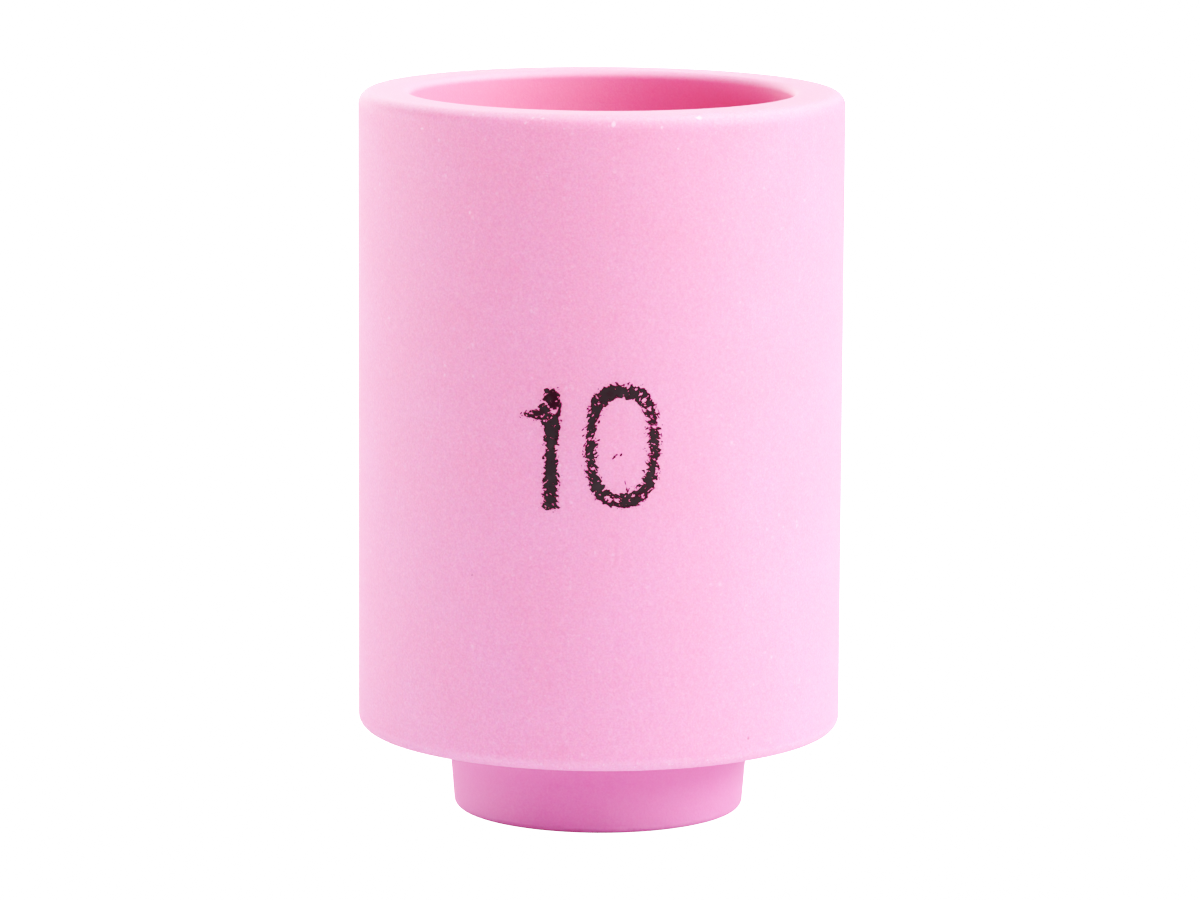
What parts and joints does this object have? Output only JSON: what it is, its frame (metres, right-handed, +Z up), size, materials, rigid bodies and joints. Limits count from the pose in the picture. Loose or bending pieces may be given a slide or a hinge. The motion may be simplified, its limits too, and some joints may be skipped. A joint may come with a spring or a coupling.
{
  "type": "tig torch gas nozzle",
  "caption": "Straight-sided ceramic gas nozzle for a small TIG torch, with a short stepped neck, an internal thread and a size number.",
  "frame": {"origin": "centre of the neck's end face, the lowest point of the nozzle as it stands on its neck", "axes": "+Z up the nozzle's axis from the neck to the open mouth; the size number faces -Y"},
  "size_m": [0.0202, 0.0202, 0.0302],
  "materials": {
    "alumina": "matte",
    "ink": "matte"
  },
  "bodies": {
    "root": {"nozzle_body": "alumina", "size_mark_one": "ink", "size_mark_zero": "ink"}
  },
  "joints": []
}
